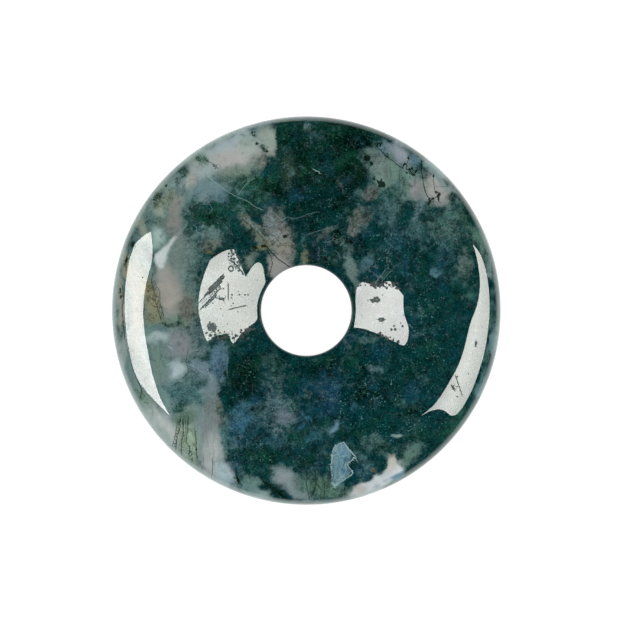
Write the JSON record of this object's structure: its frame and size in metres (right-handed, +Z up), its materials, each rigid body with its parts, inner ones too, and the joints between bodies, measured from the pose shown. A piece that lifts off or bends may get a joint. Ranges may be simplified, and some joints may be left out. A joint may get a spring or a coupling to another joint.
{
  "type": "moss agate donut",
  "caption": "Flat polished ring of moss agate: a disc of stone domed on both faces, with a small round hole through its middle and a rounded rim.",
  "frame": {"origin": "on the axis of the hole, in the plane of the underside, at the middle of the box's bottom face", "axes": "+Z up along the axis of the hole, out of the upper face; the stone lies flat on its underside; +X and +Y lie in the plane of the ring, +X to the right and +Y away in the picture's view"},
  "size_m": [0.04, 0.04, 0.0062],
  "materials": {
    "moss_agate": "high mirror polish on translucent chalcedony: milky blue grey, warm grey and lavender clouds around deep blue-green and blackish-green moss, with fine dark threads, healed white fractures and small unpolished pits"
  },
  "bodies": {
    "root": {"donut": "moss_agate"}
  },
  "joints": []
}
